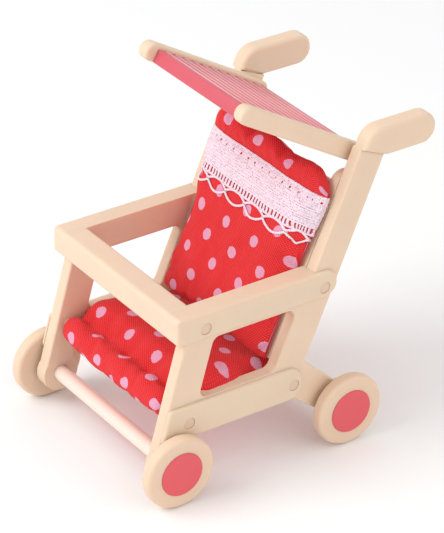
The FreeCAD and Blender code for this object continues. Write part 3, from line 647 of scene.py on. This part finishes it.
# --- Lace band: a pale pink knitted strip sewn across the back cushion, a close net with a row of eyelets
# near its top, a ladder of slots below, and a hem of open scallop loops, drawn round the cushion's sides.
lace_long, lace_high, net_foot = 43.0 * MM, 10.9 * MM, 2.5 * MM
cell = 0.14 * MM
lace_lift = 0.16 * MM
scallop_pitch, loop_thread = 6.3 * MM, 0.17 * MM
side_bend, bend_height, wrap_angle = 15.4 * MM, 1.3 * MM, math.radians(120)
ladder_top, ladder_rail, ladder_pitch, ladder_post = 1.45 * MM, 0.3 * MM, 0.98 * MM, 0.45 * MM
eyelet_pitch, eyelet_drop = 2.3 * MM, 1.3 * MM
back_tree = BVHTree.FromObject(back, bpy.context.evaluated_depsgraph_get())


def on_back(u, v, lift):
    """A point of the lace, u across and v up from its hem, on the cushion and round its sides."""
    centre = back_foot + back_up * (lace_top_at + 0.15 * MM - lace_high + v) + back_out * bend_height
    over = max(0, abs(u) - side_bend) / (lace_long / 2 - side_bend)
    angle = min(1, over) * wrap_angle
    across = Vector((math.copysign(1, u), 0, 0))
    centre.x = math.copysign(min(abs(u), side_bend), u)
    outward = back_out * math.cos(angle) + across * math.sin(angle)
    spot = back_tree.ray_cast(centre + outward * 20 * MM, -outward)[0]
    return spot + outward * (lift + lace_lift)


def thread_here(column, row):
    """Whether a cell of the net is thread: closed knit with pinholes, eyelets and ladder slots."""
    u, v = column * cell, row * cell
    if v < ladder_top:
        return u % ladder_pitch < ladder_post or v < ladder_rail
    height = lace_high - net_foot - v
    if eyelet_drop < height < eyelet_drop + 3 * cell:
        return not u % eyelet_pitch < 2.6 * cell
    hole = noise.noise(Vector((column * 0.9, row * 0.7, 0.5)))
    pin = column % 2 == 1 and row % 3 == 1
    return not (pin and hole > 0.05)


columns = int(lace_long / cell)
rows_up = int((lace_high - net_foot) / cell)
lace_form = bmesh.new()
knit = lace_form.loops.layers.uv.new("knit")
knots = {}


def knot(column, row):
    """The net's point at a column and a row, made once."""
    if (column, row) not in knots:
        u = column * cell - lace_long / 2
        ripple = 0.05 * MM * math.sin(column * 1.7 + row * 0.9)
        place = on_back(u, net_foot + row * cell, ripple)
        knots[column, row] = lace_form.verts.new(place)
    return knots[column, row]


for column in range(columns):
    for row in range(rows_up):
        if thread_here(column, row):
            corners = ((column, row), (column + 1, row), (column + 1, row + 1), (column, row + 1))
            face = lace_form.faces.new([knot(*corner) for corner in corners])
            for loop, corner in zip(face.loops, corners):
                loop[knit].uv = (corner[0] * cell * UV_PER_METRE, corner[1] * cell * UV_PER_METRE)
lace_mesh = bpy.data.meshes.new("lace_net")
bmesh.ops.recalc_face_normals(lace_form, faces=lace_form.faces)
lace_form.to_mesh(lace_mesh)
lace_form.free()

lace_thread, lace_shader = new_material("lace_thread", (0.90, 0.74, 0.83), 0.85)
lace_place = add_node(lace_thread, "ShaderNodeTexCoord").outputs["Object"]
lace_noise = add_node(lace_thread, "ShaderNodeTexNoise", {"Vector": lace_place}, Scale=2400, Detail=2)
lace_mix = add_node(lace_thread, "ShaderNodeMix", {"Factor": lace_noise.outputs["Fac"]},
                    data_type="RGBA")
lace_mix.inputs["A"].default_value = (0.80, 0.60, 0.70, 1)
lace_mix.inputs["B"].default_value = (0.92, 0.82, 0.88, 1)
lace_grid = add_node(lace_thread, "ShaderNodeUVMap", uv_map="knit").outputs["UV"]
courses = add_node(lace_thread, "ShaderNodeTexWave", {"Vector": lace_grid}, Scale=56, Distortion=2.4,
                   Detail=2, bands_direction="Y")
wales = add_node(lace_thread, "ShaderNodeTexWave", {"Vector": lace_grid}, Scale=66, Distortion=3.0,
                 Detail=2)
between = add_node(lace_thread, "ShaderNodeMath", operation="MULTIPLY")
lace_thread.node_tree.links.new(courses.outputs["Fac"], between.inputs[0])
lace_thread.node_tree.links.new(wales.outputs["Fac"], between.inputs[1])
shade = add_node(lace_thread, "ShaderNodeMapRange", {"Value": between.outputs["Value"]})
shade.inputs["From Min"].default_value = 0.35
shade.inputs["From Max"].default_value = 0.95
shade.inputs["To Max"].default_value = 0.62
knitted = add_node(lace_thread, "ShaderNodeMix", {"Factor": shade.outputs["Result"]}, data_type="RGBA")
lace_thread.node_tree.links.new(lace_mix.outputs["Result"], knitted.inputs["A"])
knitted.inputs["B"].default_value = (0.74, 0.36, 0.48, 1)
lace_bump = add_node(lace_thread, "ShaderNodeBump", {"Height": between.outputs["Value"]},
                     Strength=0.7, Distance=0.08 * MM)
lace_bump.invert = True
lace_thread.node_tree.links.new(knitted.outputs["Result"], lace_shader.inputs["Base Color"])
lace_thread.node_tree.links.new(lace_bump.outputs["Normal"], lace_shader.inputs["Normal"])
lace_shader.inputs["Sheen Weight"].default_value = 0.2

lace = piece_from("lace_net", lace_mesh, lace_thread)
wall = lace.modifiers.new("thread_thickness", "SOLIDIFY")
wall.thickness = 0.13 * MM
wall.offset = 0

scallop_sizes = {"Loops": 7, "Pitch": scallop_pitch, "Loop": 3.35 * MM, "Sag": 1.55 * MM,
                 "Thread": loop_thread}
tree, given, made = new_tree("lace_scallops", scallop_sizes)
step = tree_node(tree, "ShaderNodeCombineXYZ", {"X": given.outputs["Pitch"]})
row = tree_node(tree, "GeometryNodeMeshLine",
                {"Count": given.outputs["Loops"], "Offset": step.outputs["Vector"]})
left_end = tree_node(tree, "ShaderNodeMath", operation="MULTIPLY")
tree.links.new(given.outputs["Loop"], left_end.inputs[0])
left_end.inputs[1].default_value = -1
arcs = tree_node(tree, "GeometryNodeJoinGeometry")
for bend in (-1.9, 1.5):
    sag = tree_node(tree, "ShaderNodeMath", operation="MULTIPLY")
    tree.links.new(given.outputs["Sag"], sag.inputs[0])
    sag.inputs[1].default_value = bend
    start = tree_node(tree, "ShaderNodeCombineXYZ", {"X": left_end.outputs["Value"]})
    middle = tree_node(tree, "ShaderNodeCombineXYZ", {"Y": sag.outputs["Value"]})
    end = tree_node(tree, "ShaderNodeCombineXYZ", {"X": given.outputs["Loop"]})
    arc = tree_node(tree, "GeometryNodeCurveQuadraticBezier",
                    {"Start": start.outputs["Vector"], "Middle": middle.outputs["Vector"],
                     "End": end.outputs["Vector"]}, Resolution=20)
    tree.links.new(arc.outputs["Curve"], arcs.inputs["Geometry"])
rings = tree_node(tree, "GeometryNodeInstanceOnPoints",
                  {"Points": row.outputs["Mesh"], "Instance": arcs.outputs["Geometry"]})
loops = tree_node(tree, "GeometryNodeRealizeInstances", {"Geometry": rings.outputs["Instances"]})
section = tree_node(tree, "GeometryNodeCurvePrimitiveCircle", {"Radius": given.outputs["Thread"]},
                    Resolution=7)
cords = tree_node(tree, "GeometryNodeCurveToMesh",
                  {"Curve": loops.outputs["Geometry"], "Profile Curve": section.outputs["Curve"]})
picot_points = tree_node(tree, "GeometryNodeResampleCurve",
                         {"Curve": loops.outputs["Geometry"]}, Count=17)
knob = tree_node(tree, "GeometryNodeMeshIcoSphere", Radius=0.28 * MM, Subdivisions=2)
knobs = tree_node(tree, "GeometryNodeInstanceOnPoints",
                  {"Points": picot_points.outputs["Curve"], "Instance": knob.outputs["Mesh"]})
both = tree_node(tree, "GeometryNodeJoinGeometry")
tree.links.new(cords.outputs["Mesh"], both.inputs["Geometry"])
tree.links.new(knobs.outputs["Instances"], both.inputs["Geometry"])
finish_tree(tree, made, both.outputs["Geometry"], lace_thread)
scallop_mesh = grown_mesh("lace_scallops", tree, scallop_sizes)
first_loop, loop_rise, loop_lift = -20.4 * MM, 1.65 * MM, 0.08 * MM
for v in scallop_mesh.vertices:
    u, up, lift = v.co
    v.co = on_back(u + first_loop, up + loop_rise, lift * 0.8 + loop_lift)
scallops = piece_from("lace_scallops", scallop_mesh, lace_thread)
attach(lace, "chassis")
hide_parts("lace_band")
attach(scallops, "chassis")
